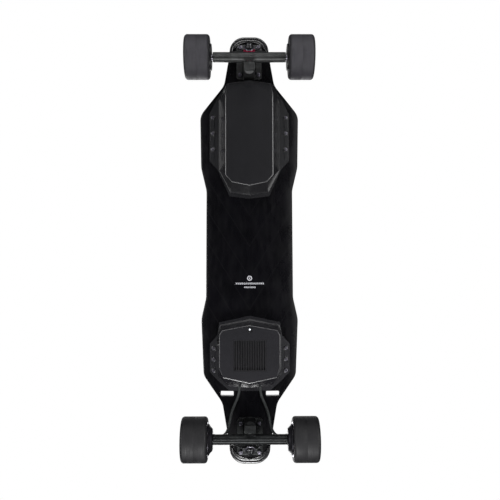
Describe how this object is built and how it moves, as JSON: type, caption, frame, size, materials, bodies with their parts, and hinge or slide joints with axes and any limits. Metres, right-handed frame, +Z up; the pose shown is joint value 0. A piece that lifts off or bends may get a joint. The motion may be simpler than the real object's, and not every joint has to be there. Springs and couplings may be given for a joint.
{
  "type": "electric skateboard",
  "caption": "Ride-on electric longboard with underslung battery and controller boxes, steering trucks and hub-motor rear wheels.",
  "frame": {"origin": "on the ground, midway between the wheels and under the middle of the deck", "axes": "+X to the rider's right, +Y towards the nose, +Z up; the wheels stand on Z = 0"},
  "size_m": [0.293, 0.97, 0.1335],
  "materials": {
    "deck_lacquer": "gloss black lacquer over maple plies",
    "grip": "coarse grit",
    "bumper_rubber": "moulded, semi-gloss",
    "battery_plastic": "fine spark texture",
    "esc_plastic": "fine spark texture",
    "cell_wrap": "shrink sleeve",
    "holder_plastic": "moulded",
    "circuit_board": "solder mask",
    "foam": "closed-cell foam",
    "black_steel": "black oxide",
    "sink_aluminium": "dark anodised",
    "red_wire": "silicone",
    "black_rubber": "soft",
    "button_plastic": "satin",
    "light_guide": "clear, lit white",
    "cable_jacket": "braided sleeve",
    "cast_aluminium": "bead-blasted, dark",
    "red_urethane": "satin",
    "black_urethane": "satin",
    "zinc_steel": "zinc plated",
    "front_urethane": "matte tread",
    "rear_urethane": "matte tread",
    "hub_plastic": "moulded",
    "bearing_steel": "ground",
    "motor_metal": "anodised",
    "rotor_steel": "dark",
    "laminations": "stacked sheet",
    "copper": "enamelled wire",
    "magnet": "nickel plated"
  },
  "bodies": {
    "board": {"deck": "deck_lacquer", "grip_tape": "grip", "nose_bumper": "bumper_rubber", "tail_bumper": "bumper_rubber", "battery_cover": "battery_plastic", "battery_cells": "cell_wrap", "cell_holders": "holder_plastic", "bms_board": "circuit_board", "cover_seals": "foam", "cover_screws": "black_steel", "esc_cover": "esc_plastic", "heat_sink": "sink_aluminium", "esc_board": "circuit_board", "power_lead": "red_wire", "charge_port": "button_plastic", "button_housing": "button_plastic", "status_light": "light_guide", "left_motor_cable": "cable_jacket", "right_motor_cable": "cable_jacket", "deck_bolts": "black_steel", "front_riser": "black_rubber", "front_baseplate": "cast_aluminium", "front_pivot_cup": "red_urethane", "front_kingpin": "zinc_steel", "front_bushing_board_side": "red_urethane", "front_bushing_road_side": "red_urethane", "front_bushing_washers": "zinc_steel", "front_kingpin_nut": "zinc_steel", "rear_riser": "black_rubber", "rear_baseplate": "cast_aluminium", "rear_pivot_cup": "black_urethane", "rear_kingpin": "zinc_steel", "rear_bushing_board_side": "black_urethane", "rear_bushing_road_side": "black_urethane", "rear_bushing_washers": "zinc_steel", "rear_kingpin_nut": "zinc_steel"},
    "power_button": {"power_button": "button_plastic"},
    "charge_cap": {"charge_cap": "black_rubber"},
    "front_truck": {"front_hanger": "cast_aluminium", "front_axle": "zinc_steel", "front_axle_nuts": "zinc_steel", "front_inner_rings": "zinc_steel"},
    "rear_truck": {"rear_hanger": "cast_aluminium", "motor_carriers": "motor_metal", "motor_end_covers": "motor_metal", "motor_stators": "laminations", "motor_windings": "copper", "motor_bearings": "bearing_steel"},
    "front_left_wheel": {"front_left_tyre": "front_urethane", "front_left_hub": "hub_plastic", "front_left_bearings": "bearing_steel"},
    "front_right_wheel": {"front_right_tyre": "front_urethane", "front_right_hub": "hub_plastic", "front_right_bearings": "bearing_steel"},
    "rear_left_wheel": {"rear_left_tyre": "rear_urethane", "rear_left_rotor": "rotor_steel", "rear_left_magnets": "magnet"},
    "rear_right_wheel": {"rear_right_tyre": "rear_urethane", "rear_right_rotor": "rotor_steel", "rear_right_magnets": "magnet"}
  },
  "joints": [
    {"name": "front_steer", "type": "hinge", "parent": "board", "child": "front_truck", "pos_m": [0, 0.42801, 0.0702], "axis": [0, 0.766, 0.6428], "range_deg": [-12, 12], "stiffness_Nm_per_rad": 60, "deforming": ["front_bushing_board_side", "front_bushing_road_side"]},
    {"name": "rear_steer", "type": "hinge", "parent": "board", "child": "rear_truck", "pos_m": [0, -0.42801, 0.0702], "axis": [0, -0.766, 0.6428], "range_deg": [-12, 12], "stiffness_Nm_per_rad": 60, "deforming": ["rear_bushing_board_side", "rear_bushing_road_side", "left_motor_cable", "right_motor_cable"]},
    {"name": "front_left_wheel_spin", "type": "hinge", "parent": "front_truck", "child": "front_left_wheel", "pos_m": [-0.1135, 0.414, 0.048], "axis": [1, 0, 0], "continuous": true},
    {"name": "front_right_wheel_spin", "type": "hinge", "parent": "front_truck", "child": "front_right_wheel", "pos_m": [0.1135, 0.414, 0.048], "axis": [1, 0, 0], "continuous": true},
    {"name": "rear_left_wheel_spin", "type": "hinge", "parent": "rear_truck", "child": "rear_left_wheel", "pos_m": [-0.1185, -0.414, 0.048], "axis": [1, 0, 0], "continuous": true},
    {"name": "rear_right_wheel_spin", "type": "hinge", "parent": "rear_truck", "child": "rear_right_wheel", "pos_m": [0.1185, -0.414, 0.048], "axis": [1, 0, 0], "continuous": true},
    {"name": "power_button_press", "type": "slide", "parent": "board", "child": "power_button", "axis": [0, 0, 1], "range_m": [0, 0.0012], "stiffness_N_per_m": 300},
    {"name": "charge_cap_pull", "type": "slide", "parent": "board", "child": "charge_cap", "axis": [1, 0, 0], "range_m": [0, 0.015]}
  ]
}
